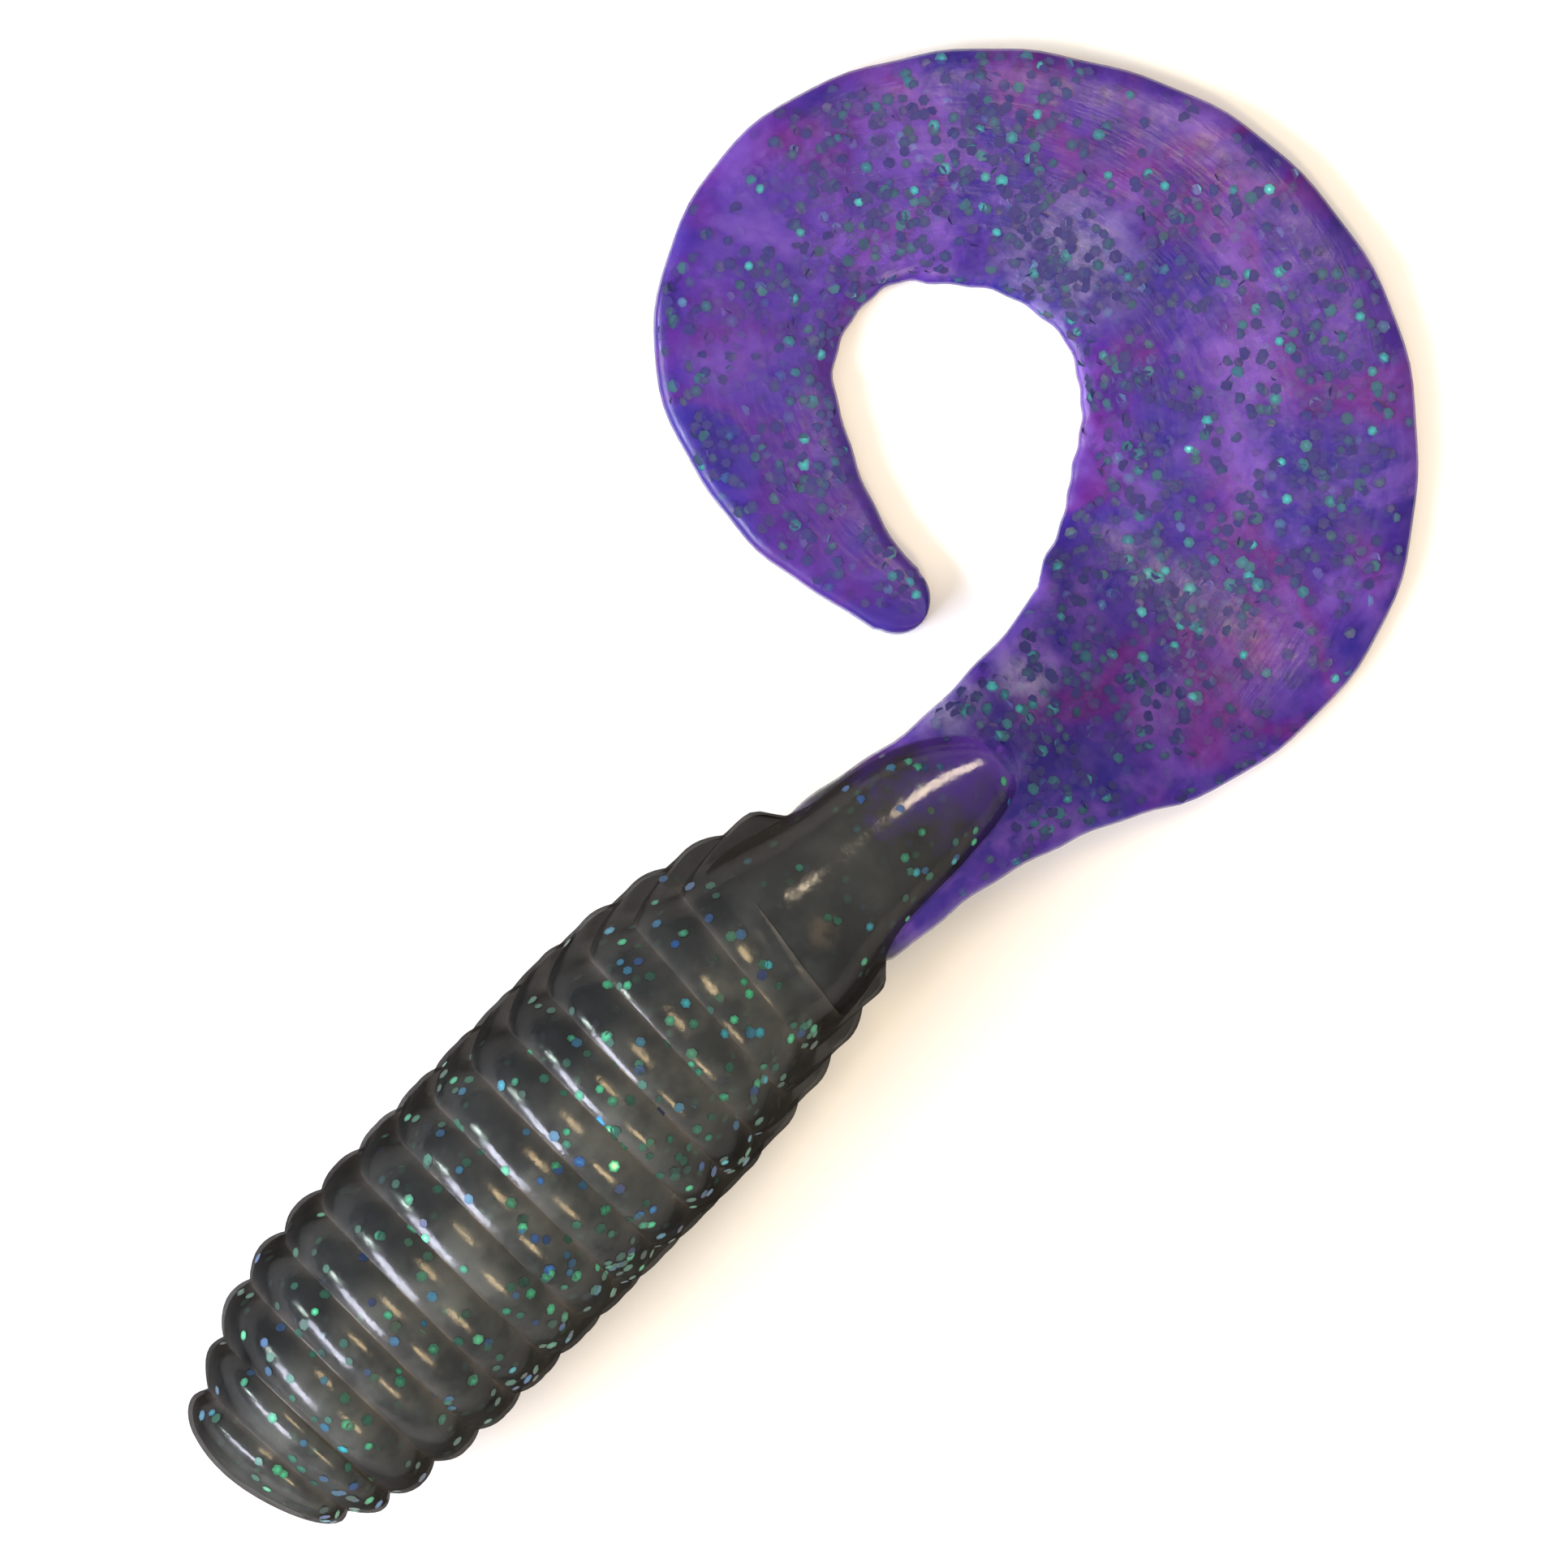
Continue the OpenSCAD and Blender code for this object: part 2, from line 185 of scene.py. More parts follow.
def body_rings():
    """Places of the rings along the body, closer together at the grooves."""
    places = [NOSE_RIB * (k / NOSE_RINGS) ** 1.6 for k in range(NOSE_RINGS)]
    for rib in range(RIBS):
        for k in range(RIB_STEPS):
            across = math.sin(math.radians(90 * (2 * k / RIB_STEPS - 1)))
            places.append(NOSE_RIB + RIB_PITCH * (rib + (across + 1) / 2))
    return places + [BODY_LEN]


def groove_shares():
    """1 at the grooves and 0 over the ribs, for each point of the body's loft."""
    rows = []
    for u in body_rings() + [BODY_LEN]:
        turn = (u - NOSE_RIB) / RIB_PITCH
        across = 2 * (turn - math.floor(turn + 1e-9)) - 1 if u > NOSE_RIB - 1e-9 else 0.0
        rows.append([abs(across) ** 6] * ROUND)
    return np.array(rows)


def body_grid(inset, depth):
    angles = [2 * math.pi * k / ROUND for k in range(ROUND)]
    rings = [[body_point(u, a, inset, depth) for a in angles] for u in body_rings()]
    # The last ring turns inwards, out of sight inside the peg
    middle = np.array([0, axis_shift(BODY_LEN), AXIS_Z])
    shrink = np.array([1, END_TURN_IN, END_TURN_IN])
    end = middle + (np.array(rings[-1]) - middle) * shrink
    return np.concatenate([rings, [end]])


# ---- Peg shape ---------------------------------------------------------------------------

PEG_FROM = 29.0         # the loft starts inside the ribs
PEG_SEEN_FROM = 30.7
PEG_TO = 42.15
PEG_BULLET_AT = 36.2    # its end rounds off from here
PEG_HOOK_AT = 38.2      # and turns sideways, with the tail, from here
PEG_R = 3.52
PEG_TAPER = 0.085
PEG_RINGS = 44
PEG_ROUND = 64
PEG_CONE = 0.62         # the peg is this much thicker where it leaves the ribs
PEG_DIP = math.tan(math.radians(9))


def peg_r(x):
    bullet = clamp01((x - PEG_BULLET_AT) / (PEG_TO - PEG_BULLET_AT)) ** 2.6
    cone = PEG_CONE * ease(clamp01((34.8 - x) / 4.4))
    straight = PEG_R - PEG_TAPER * (x - PEG_SEEN_FROM)
    return straight * math.sqrt(max(0.0, 1 - bullet)) + cone


def peg_y(x):
    return -0.1 - 0.078 * (x - PEG_SEEN_FROM) - 0.05 * max(0.0, x - PEG_HOOK_AT) ** 1.7


def peg_z(x):
    return AXIS_Z - PEG_DIP * max(0.0, x - BODY_LEN)


def peg_grid(inset):
    rings = []
    for k in range(PEG_RINGS + 1):
        x = PEG_FROM + (PEG_TO - inset - PEG_FROM) * math.sin(math.radians(90 * k / PEG_RINGS))
        radius = max(0.0, peg_r(min(PEG_TO, x + inset)) - inset)
        ring = []
        for i in range(PEG_ROUND):
            a = 2 * math.pi * i / PEG_ROUND
            ring.append([x, peg_y(x) + radius * math.cos(a), peg_z(x) + radius * math.sin(a)])
        rings.append(ring)
    return np.array(rings)


# ---- Tail shape --------------------------------------------------------------------------

# The blade's middle line: arcs, each with its length and how far it turns, in degrees
BENDS = [(12.2, -3), (13.5, 63.5), (8.2, 44), (10.4, 50), (13, 99), (10, 37)]
TAIL_START = (BODY_LEN, -0.65, -9.0)        # place and heading
TAIL_LEN = 66.5         # along the middle line, up to the round tip
TIP_R = 1.4
WIDTH_STEP = 6          # the widths are this far apart along the blade
WIDTHS = [7.0, 7.1, 9.7, 13.2, 13.5, 12.2, 10.4, 9.3, 8.3, 7.5, 5.8, 3.1]
ROOT_T = 2.9            # thickness at the root, and of most of the blade
BLADE_T = 1.25
ROOT_FADE = 6.0         # the thickness falls off over this length
EDGE_POWER = 7          # the higher, the squarer the blade's edges
CROWN = 0.1             # the faces fall by this share of the thickness towards the edges
DROOP_LEN = 19.0        # the blade comes down to the floor over this length
ROOT_FROM = -2.8        # the blade starts inside the ribs
RING_STEP = 0.5
TOP_POINTS = 40         # points across the top of a ring, and across its underside
BOTTOM_POINTS = 22


def along_bend(start, bend, d):
    """Place and heading at a distance d round an arc."""
    length, angle = bend
    turn = math.radians(angle * d / length)
    radius = length / math.radians(angle)
    heading = math.radians(start[2])
    return (start[0] + radius * (math.sin(heading + turn) - math.sin(heading)),
            start[1] - radius * (math.cos(heading + turn) - math.cos(heading)),
            start[2] + math.degrees(turn))


def tail_at(q):
    """Plan position and heading in degrees at a distance q along the tail."""
    place = TAIL_START
    for bend in BENDS[:-1]:
        if q <= bend[0]:
            return along_bend(place, bend, q)
        place = along_bend(place, bend, bend[0])
        q -= bend[0]
    return along_bend(place, BENDS[-1], q)


def half_width(q):
    """Half the blade's width: a smooth curve through the widths, then the round tip."""
    if q > TAIL_LEN:
        return TIP_R * math.sqrt(max(0.0, 1 - ((q - TAIL_LEN) / TIP_R) ** 2))
    i = math.floor(q / WIDTH_STEP)
    t = q / WIDTH_STEP - i
    a, b, c, d = (WIDTHS[min(len(WIDTHS) - 1, max(0, i + k))] for k in (-1, 0, 1, 2))
    curve = 2 * a - 5 * b + 4 * c - d + t * (3 * b - a - 3 * c + d)
    return (b + t * (c - a + t * curve) / 2) / 2


def thickness(q):
    return BLADE_T + (ROOT_T - BLADE_T) * math.exp(-max(q, 0) / ROOT_FADE)


def blade_rise(q, v):
    """Height of the blade's face over its middle, at v from -1 to 1 across it."""
    return thickness(q) / 2 * math.sqrt(max(0.0, 1 - abs(v) ** EDGE_POWER)) * (1 - CROWN * v * v)


def middle_z(q):
    return AXIS_Z + (thickness(q) / 2 - AXIS_Z) * ease(clamp01(q / DROOP_LEN))


def edge_wave(q, phase):
    """The slight unevenness of the moulded edge."""
    return 0.05 * math.sin(0.9 * q + phase) + 0.035 * math.sin(2.3 * q + 2 * phase)


def blade_edges(q):
    """Distances of the inner and the outer edge from the middle line, both positive."""
    half = half_width(q)
    # The curl leans inwards. Its inner edge has a corner behind the root and dips near the tip
    shift = 0.36 * bump(q, 42.5, 6.5)
    inner = half + shift + 0.55 * bump(q, 13.4, 2.0) - 0.22 * bump(q, 56.8, 2.0)
    outer = half - shift + 0.12 * bump(q, 13, 3)
    calm = clamp01((TAIL_LEN - q) / 3)
    start = 0.80 + 0.20 * ease(clamp01((q - ROOT_FROM) / 2.3))
    return start * (inner + calm * edge_wave(q, 0.4)), start * (outer + calm * edge_wave(q, 2.1))


def smooth_max(a, b, k):
    """The larger of two heights, with a fillet of about k where they meet."""
    m = max(a, b)
    return m + k * math.log(math.exp((a - m) / k) + math.exp((b - m) / k))


FILLET = 0.22
FAIRING_TO = 14         # q where the plastic moulded round the peg ends


def peg_cover(x):
    """How far the violet plastic stays below the peg's surface. Its tip is covered."""
    return 0.45 - 0.60 * ease(clamp01((x - 39.9) / 2.3))


def peg_height(x, y):
    """Height of the peg's surface over its own axis, falling steeply outside it."""
    if x > PEG_TO:
        return -3 - 2 * (x - PEG_TO)
    radius = max(0.05, peg_r(x) - peg_cover(x))
    off = abs(y - peg_y(x))
    if off < radius:
        return math.sqrt(radius * radius - off * off)
    return -2.5 * (off - radius)


def blade_ring(q, edge_inset, thin):
    """One ring of the blade, over the top from the outer edge and back below."""
    px, py, heading = tail_at(q)
    sin_h = math.sin(math.radians(heading))
    cos_h = math.cos(math.radians(heading))
    inner, outer = blade_edges(q)
    inner = max(0.02, inner - edge_inset)
    outer = max(0.02, outer - edge_inset)
    t = thickness(q)
    z = middle_z(q)
    ring = []
    for k in range(TOP_POINTS + BOTTOM_POINTS):
        top = k <= TOP_POINTS
        w = 2 * k / TOP_POINTS - 1 if top else 1 - 2 * (k - TOP_POINTS) / BOTTOM_POINTS
        v = math.sin(math.pi / 2 * w)
        d = v * (inner if v > 0 else outer)
        x = px - sin_h * d
        y = py + cos_h * d
        rise = blade_rise(q, v) * thin
        if q < FAIRING_TO:
            over = peg_height(x, y)
            peg_rise = over + (peg_z(x) - z) if top else over - (peg_z(x) - z)
            rise = smooth_max(rise, peg_rise - (t / 2) * (1 - thin), FILLET)
        ring.append([x, y, z + rise if top else z - rise])
    return ring


def blade_places():
    places = list(np.arange(ROOT_FROM, TAIL_LEN, RING_STEP))
    places += [TAIL_LEN + TIP_R * math.sin(math.radians(a)) for a in range(0, 90, 9)]
    return places


def blade_grid(edge_inset, thin):
    return np.array([blade_ring(q, edge_inset, thin) for q in blade_places()])


# ---- Spans: the stretches that bend across one joint -------------------------------------


BODY_JOINTS = ["front_bend", "body_lift", "rear_bend", "stock_lift"]
TAIL_JOINTS = ["curl_1", "curl_2", "curl_3", "flutter_1", "curl_4", "flutter_2", "tip_flick"]
TAIL_JOINT_Q = [10, 18, 27, 36, 44, 52, 60]     # distances along the tail
# Each span ends half way between two joints
BODY_ENDS = [13.8, 22.95, 30.95]
TAIL_ENDS = [(a + b) / 2 for a, b in zip([0] + TAIL_JOINT_Q, TAIL_JOINT_Q)]


def body_span(x):
    """0 for the stretch that bends with the body's first joint."""
    return sum(x > end for end in BODY_ENDS)


def tail_span(q):
    """0 for the stretch that bends with the body's last joint."""
    return sum(q > end for end in TAIL_ENDS)


def bend_over(piece, joint):
    """Bakes the piece's placement into its mesh."""
    if joint in TAIL_JOINTS:
        heading = math.radians(tail_at(TAIL_JOINT_Q[TAIL_JOINTS.index(joint)])[2])
    else:
        heading = 0.0
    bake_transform(piece)


# ---- Mesh making -------------------------------------------------------------------------


def grid_normals(grid):
    """Normals of a loft's points, the same on both sides of a cut between two spans."""
    along = np.gradient(grid, axis=0)
    across = np.roll(grid, -1, axis=1) - np.roll(grid, 1, axis=1)
    normals = np.cross(across, along)
    length = np.linalg.norm(normals, axis=2, keepdims=True)
    return normals / np.maximum(length, 1e-9)


def add_mesh(name, points, faces, material, normals=None, tints=None, flow=None):
    mesh = bpy.data.meshes.new(name)
    mesh.from_pydata(row(points).tolist(), [], faces)
    mesh.materials.append(material)
    rest = mesh.attributes.new("rest", "FLOAT_VECTOR", "POINT")
    rest.data.foreach_set("vector", np.asarray(points, np.float32).ravel())
    if tints is not None:
        tint = mesh.attributes.new("tint", "FLOAT", "POINT")
        tint.data.foreach_set("value", np.asarray(tints, np.float32))
    if flow is not None:
        along = mesh.attributes.new("flow", "FLOAT_VECTOR", "POINT")
        along.data.foreach_set("vector", np.asarray(flow, np.float32).ravel())
    mesh.update()
    if normals is not None:
        mesh.shade_smooth()
        mesh.normals_split_custom_set_from_vertices([tuple(n) for n in normals])
    piece = bpy.data.objects.new(name, mesh)
    bpy.context.scene.collection.objects.link(piece)
    return piece


def loft_spans(name, grid, span_of, joints, material,
               close_end=False, tints=None, flow=None):
    """Cuts a loft into one mesh for each joint and bakes each one's placement into its mesh."""
    rings, count = grid.shape[:2]
    normals = grid_normals(grid)
    faces = {}
    for i in range(rings - 1):
        for j in range(count):
            k = (j + 1) % count
            quad = (i * count + j, i * count + k, (i + 1) * count + k, (i + 1) * count + j)
            at = (grid[i, j] + grid[i + 1, k]) / 2
            faces.setdefault(span_of(i, at), []).append(quad)
    if close_end:
        last = (rings - 1) * count
        faces[span_of(rings - 2, grid[-1, 0])].append(tuple(range(last, last + count)))
    pieces = []
    flat = grid.reshape(-1, 3)
    flat_normals = normals.reshape(-1, 3)
    for span in sorted(faces):
        used = sorted({v for face in faces[span] for v in face})
        new = {v: n for n, v in enumerate(used)}
        quads = [tuple(new[v] for v in face) for face in faces[span]]
        piece = add_mesh(f"{name}_{span + 1}", flat[used], quads, material, flat_normals[used],
                         None if tints is None else tints.reshape(-1)[used],
                         None if flow is None else flow.reshape(-1, 3)[used])
        bend_over(piece, joints[span])
        pieces.append(piece)
    return pieces


# ---- Materials ---------------------------------------------------------------------------


class Nodes:
    """A material's node tree, with short calls for the nodes used here."""

    def __init__(self, name):
        self.material = bpy.data.materials.new(name)
        self.material.use_nodes = True
        self.tree = self.material.node_tree
        self.tree.nodes.clear()
        self.out = self.tree.nodes.new("ShaderNodeOutputMaterial")
        self.shader = self.tree.nodes.new("ShaderNodeBsdfPrincipled")
        self.tree.links.new(self.shader.outputs[0], self.out.inputs[0])

    def link(self, a, b):
        self.tree.links.new(a, b)

    def rest(self):
        node = self.tree.nodes.new("ShaderNodeAttribute")
        node.attribute_name = "rest"
        return node.outputs["Vector"]

    def flow(self):
        node = self.tree.nodes.new("ShaderNodeAttribute")
        node.attribute_name = "flow"
        return node.outputs["Vector"]

    def split(self, vector):
        node = self.tree.nodes.new("ShaderNodeSeparateXYZ")
        self.link(vector, node.inputs[0])
        return node.outputs

    def spot(self, rest, place, reach):
        """1 at a place, falling to 0 at the reach."""
        node = self.tree.nodes.new("ShaderNodeVectorMath")
        node.operation = "DISTANCE"
        self.link(rest, node.inputs[0])
        node.inputs[1].default_value = place
        return self.range(node.outputs["Value"], 0.15 * reach, reach, 1.0, 0.0)

    def tint(self):
        node = self.tree.nodes.new("ShaderNodeAttribute")
        node.attribute_name = "tint"
        return node.outputs["Fac"]

    def noise(self, vector, scale, detail=3.0, rough=0.5, distort=0.0):
        node = self.tree.nodes.new("ShaderNodeTexNoise")
        node.inputs["Scale"].default_value = scale
        node.inputs["Detail"].default_value = detail
        node.inputs["Roughness"].default_value = rough
        node.inputs["Distortion"].default_value = distort
        self.link(vector, node.inputs["Vector"])
        return node.outputs["Fac"]

    def stretch(self, vector, scale, offset=(0, 0, 0)):
        node = self.tree.nodes.new("ShaderNodeMapping")
        node.inputs["Scale"].default_value = scale
        node.inputs["Location"].default_value = offset
        self.link(vector, node.inputs["Vector"])
        return node.outputs[0]

    def ramp(self, fac, stops):
        node = self.tree.nodes.new("ShaderNodeValToRGB")
        ramp = node.color_ramp
        while len(ramp.elements) < len(stops):
            ramp.elements.new(0.5)
        for element, (place, colour) in zip(ramp.elements, stops):
            element.position = place
            element.color = (*colour, 1)
        self.link(fac, node.inputs[0])
        return node.outputs["Color"]

    def range(self, fac, low_in, high_in, low, high):
        node = self.tree.nodes.new("ShaderNodeMapRange")
        for socket, value in zip(("From Min", "From Max", "To Min", "To Max"),
                                 (low_in, high_in, low, high)):
            node.inputs[socket].default_value = value
        self.link(fac, node.inputs["Value"])
        return node.outputs["Result"]

    def mix(self, fac, a, b):
        node = self.tree.nodes.new("ShaderNodeMix")
        node.data_type = "RGBA"
        if isinstance(fac, float):
            node.inputs["Factor"].default_value = fac
        else:
            self.link(fac, node.inputs["Factor"])
        for socket, value in ((node.inputs[6], a), (node.inputs[7], b)):
            if isinstance(value, tuple):
                socket.default_value = (*value, 1)
            else:
                self.link(value, socket)
        return node.outputs[2]

    def maths(self, what, a, b):
        node = self.tree.nodes.new("ShaderNodeMath")
        node.operation = what
        for socket, value in zip(node.inputs, (a, b)):
            if isinstance(value, (int, float)):
                socket.default_value = value
            else:
                self.link(value, socket)
        return node.outputs[0]

    def gloss(self):
        """Full gloss where the surface faces the viewer, and little at a grazing angle."""
        node = self.tree.nodes.new("ShaderNodeLayerWeight")
        node.inputs["Blend"].default_value = 0.5
        self.drive("Specular IOR Level", self.range(node.outputs["Facing"], 0.16, 0.50, 0.5, 0.0))

    def relief(self, height, strength, distance):
        node = self.tree.nodes.new("ShaderNodeBump")
        node.inputs["Strength"].default_value = strength
        node.inputs["Distance"].default_value = distance
        self.link(height, node.inputs["Height"])
        self.link(node.outputs[0], self.shader.inputs["Normal"])

    def set(self, **values):
        for name, value in values.items():
            self.shader.inputs[name.replace("_", " ")].default_value = value

    def drive(self, name, socket):
        self.link(socket, self.shader.inputs[name])


def smoke_colour(m, rest, light):
    """Dark smoke, hazier low on the near face, with a painted glow of paler brown along the grooves
    and painted shade towards the body's two sides.
    """
    cloud = m.noise(rest, 0.24, 4.0, 0.6)
    smoke = m.ramp(cloud, [(0.36, (0.005, 0.006, 0.007)), (0.52, (0.011, 0.013, 0.014)),
                           (0.68, (0.026, 0.028, 0.027))])
    haze_at = m.range(m.split(rest)[1], 2.2, 0.0, 0.0, 1.0)
    haze_out = m.range(m.split(rest)[1], -1.6, -4.8, 1.0, 0.25)
    patchy = m.range(m.noise(rest, 0.42, 3.0, 0.6), 0.38, 0.62, 0.12, 0.8 * light)
    haze = m.maths("MULTIPLY", m.maths("MULTIPLY", haze_at, haze_out), patchy)
    haze = m.maths("MULTIPLY", haze, m.range(m.split(rest)[0], 27.5, 31.5, 1.0, 0.15))
    smoke = m.mix(haze, smoke, (0.135, 0.145, 0.130))
    # Painted glow: paler brown painted along the grooves, standing in for light shining through the
    # thin rib edges.
    groove_glow = m.maths("MULTIPLY", m.tint(), m.range(m.noise(rest, 0.5), 0.35, 0.65, 0.1, 0.8))
    smoke = m.mix(groove_glow, smoke, (0.105, 0.095, 0.086))
    # Painted shade: the colour turns darker brown-black towards the body's two sides, near the
    # axis's height.
    off_middle = m.maths("ABSOLUTE", m.maths("SUBTRACT", m.split(rest)[2], AXIS_Z), 0.0)
    return m.mix(m.range(off_middle, 4.0, 1.2, 0.0, 0.6), smoke, (0.020, 0.016, 0.013))


def smoke_skin():
    m = Nodes("smoke_skin")
    rest = m.rest()
    m.drive("Base Color", smoke_colour(m, rest, 0.6))
    m.drive("Alpha", m.range(m.noise(rest, 0.3, 4.0), 0.3, 0.7, 0.70, 0.86))
    m.drive("Roughness", m.range(m.noise(rest, 1.7), 0.3, 0.7, 0.13, 0.24))
    m.relief(m.noise(rest, 2.6, 4.0), 0.3, 0.00005)
    m.set(IOR=1.46)
    m.gloss()
    return m.material


def smoke_core():
    m = Nodes("smoke_core")
    rest = m.rest()
    m.drive("Base Color", smoke_colour(m, rest, 1.0))
    m.drive("Roughness", m.range(m.noise(rest, 0.9), 0.3, 0.7, 0.5, 0.75))
    m.relief(m.noise(rest, 1.1, 3.0), 0.3, 0.0001)
    m.set(IOR=1.3)
    return m.material


def peg_colour(m, rest, violet):
    """Smoke at the ribs, turning violet towards the tip, with a painted lamp reflection where the
    ribs end.
    """
    uneven = m.range(m.noise(rest, 0.55, 3.0, 0.6), 0.3, 0.7, -2.0, 2.0)
    turn = m.range(m.maths("ADD", m.split(rest)[0], uneven), 36.8, 41.2, 0.0, 1.0)
    smoke = m.mix(turn, smoke_colour(m, rest, 0.8), violet)
    at_tip = m.range(m.split(rest)[0], 40.6, 42.2, 0.0, 1.0)
    smoke = m.mix(at_tip, smoke, (0.065, 0.026, 0.24))
    patchy = m.range(m.noise(rest, 1.4), 0.4, 0.6, 0.1, 0.6)
    # Painted reflection: a pale tan patch where a lamp reflects off the smooth cone after the ribs.
    painted_reflection = m.maths("MULTIPLY", m.spot(rest, LAMP_REFLECTION_AT, 1.2), patchy)
    return m.mix(painted_reflection, smoke, (0.16, 0.13, 0.09))


def peg_skin_material():
    m = Nodes("peg_skin")
    rest = m.rest()
    m.drive("Base Color", peg_colour(m, rest, (0.030, 0.010, 0.13)))
    m.drive("Alpha", m.range(m.noise(rest, 0.4, 4.0), 0.3, 0.7, 0.62, 0.82))
    m.drive("Roughness", m.range(m.noise(rest, 1.7), 0.3, 0.7, 0.10, 0.20))
    m.relief(m.noise(rest, 1.6, 4.0), 0.3, 0.00006)
    m.set(IOR=1.46)
    m.gloss()
    return m.material


def peg_core_material():
    m = Nodes("peg_core")
    rest = m.rest()
    m.drive("Base Color", peg_colour(m, rest, (0.040, 0.012, 0.20)))
    m.drive("Roughness", m.range(m.noise(rest, 0.9), 0.3, 0.7, 0.5, 0.75))
    m.relief(m.noise(rest, 1.1, 3.0), 0.3, 0.0001)
    m.set(IOR=1.3)
    return m.material


def violet_colour(m, rest):
    """Violet with magenta, blue-violet and pale lavender clouds of several sizes, and pale spots of
    painted sheen.
    """
    wide = m.noise(rest, 0.13, 3.0, 0.5, 0.5)
    cloud = m.noise(m.stretch(rest, (1, 1, 1), (17, 5, 3)), 0.21, 5.0, 0.66, 0.3)
    fine = m.noise(rest, 0.85, 4.0, 0.65)
    base = m.ramp(wide, [(0.40, (0.016, 0.007, 0.22)), (0.47, (0.044, 0.008, 0.24)),
                         (0.53, (0.105, 0.004, 0.190)), (0.60, (0.050, 0.012, 0.26))])
    pale = m.range(cloud, 0.49, 0.64, 0.0, 0.85)
    base = m.mix(pale, base, (0.165, 0.070, 0.42))
    deep = m.range(cloud, 0.46, 0.36, 0.0, 0.85)
    base = m.mix(deep, base, (0.020, 0.006, 0.17))
    grain = m.range(fine, 0.42, 0.58, 0.0, 0.4)
    base = m.mix(grain, base, m.mix(0.5, base, (0.15, 0.07, 0.42)))
    # Painted sheen: pale lavender spots where the tail catches the light.
    for place, reach, strength in PAINTED_SHEEN_SPOTS:
        patchy = m.range(fine, 0.38, 0.58, 0.1, strength)
        spot = m.maths("MULTIPLY", m.spot(rest, place, reach), patchy)
        base = m.mix(spot, base, (0.32, 0.28, 0.50))
    blue_end = m.range(m.split(m.flow())[0], 46.0, 58.0, 0.0, 0.5)
    base = m.mix(blue_end, base, (0.026, 0.012, 0.21))
    for place, reach in SMOKED_SPOTS:
        base = m.mix(m.spot(rest, place, reach), base, (0.013, 0.014, 0.016))
    return base


def violet_skin():
    m = Nodes("violet_skin")
    rest = m.rest()
    m.drive("Base Color", violet_colour(m, rest))
    thin = m.noise(m.stretch(rest, (1, 1, 1), (30, 0, 0)), 0.3)
    m.drive("Alpha", m.range(thin, 0.3, 0.7, 0.40, 0.70))
    m.drive("Roughness", m.range(m.noise(rest, 1.3), 0.3, 0.7, 0.22, 0.4))
    lines = m.noise(m.stretch(m.flow(), (0.5, 3.2, 1.0)), 1.0, 4.0)
    m.relief(m.maths("ADD", m.noise(rest, 1.9, 4.0), lines), 0.35, 0.00006)
    m.set(IOR=1.46)
    return m.material


def violet_core():
    m = Nodes("violet_core")
    rest = m.rest()
    m.drive("Base Color", violet_colour(m, rest))
    m.drive("Roughness", m.range(m.noise(rest, 0.8), 0.3, 0.7, 0.4, 0.7))
    m.relief(m.noise(rest, 1.2, 3.0), 0.3, 0.0001)
    m.set(IOR=1.3)
    return m.material


def flake_film(name, stops):
    """Metallised film. Each flake has its own tint, which paints how brightly it glints, and a fine
    grain.
    """
    m = Nodes(name)
    coord = m.tree.nodes.new("ShaderNodeTexCoord")
    grain = m.noise(coord.outputs["Object"], 4000.0, 2.0)
    tint = m.maths("ADD", m.tint(), m.range(grain, 0.3, 0.7, -0.08, 0.08))
    m.drive("Base Color", m.ramp(tint, stops))
    m.drive("Roughness", m.range(grain, 0.3, 0.7, 0.35, 0.55))
    m.set(Metallic=0.2)
    return m.material


LAMP_REFLECTION_AT = (31.7, -1.0, 8.9)       # a painted lamp reflection: a pale tan patch where the ribs end
# Painted sheen: pale places of the tail where it catches the light: where, how far, and how strong
PAINTED_SHEEN_SPOTS = [
    ((36.9, 2.2, 4.6), 1.6, 0.9),
    ((41.6, 1.6, 4.9), 2.0, 0.75),
    ((44.6, 0.1, 3.9), 1.7, 0.7),
    ((35.5, 25.3, 1.2), 2.1, 1.0),
    ((45.0, 27.1, 1.2), 2.6, 0.85),
    ((57.5, 10.5, 1.2), 3.6, 0.6),
]
# Smoke plastic has run into the violet here, beside the peg
SMOKED_SPOTS = [((35.8, 2.8, 6.0), 3.6), ((32.6, -3.8, 6.0), 2.0)]
SMOKE_SKIN = smoke_skin()
SMOKE_CORE = smoke_core()
PEG_SKIN = peg_skin_material()
PEG_CORE = peg_core_material()
VIOLET_SKIN = violet_skin()
VIOLET_CORE = violet_core()
# Each film's colours paint the flake's glint, from a flake painted as turned away to one painted as
# catching the light
FILM_COLOURS = {
    "green": [(0.0, (0.004, 0.022, 0.017)), (0.35, (0.010, 0.085, 0.055)),
              (0.75, (0.035, 0.36, 0.17)), (1.0, (0.45, 1.0, 0.50))],
    "teal": [(0.0, (0.006, 0.024, 0.075)), (0.4, (0.012, 0.095, 0.15)),
             (0.8, (0.03, 0.33, 0.36)), (1.0, (0.35, 0.95, 0.90))],
    "blue": [(0.0, (0.005, 0.009, 0.040)), (0.5, (0.004, 0.045, 0.15)),
             (1.0, (0.01, 0.22, 0.42))],
    "dark": [(0.0, (0.010, 0.006, 0.105)), (0.35, (0.013, 0.014, 0.125)),
             (0.6, (0.014, 0.040, 0.10)), (1.0, (0.015, 0.10, 0.17))],
}
FILMS = {f"{hue}_flake": flake_film(f"{hue}_film", stops) for hue, stops in FILM_COLOURS.items()}

# ---- Skins and cores ---------------------------------------------------------------------

RIM = 0.18              # from the body's skin to its core
PEG_RIM = 0.22
BLADE_RIM = 0.08
CORE_THIN = 0.72        # the blade's core, as a share of its thickness


def body_span_of(i, at):
    return body_span(at[0])


def last_span_of(i, at):
    return 3


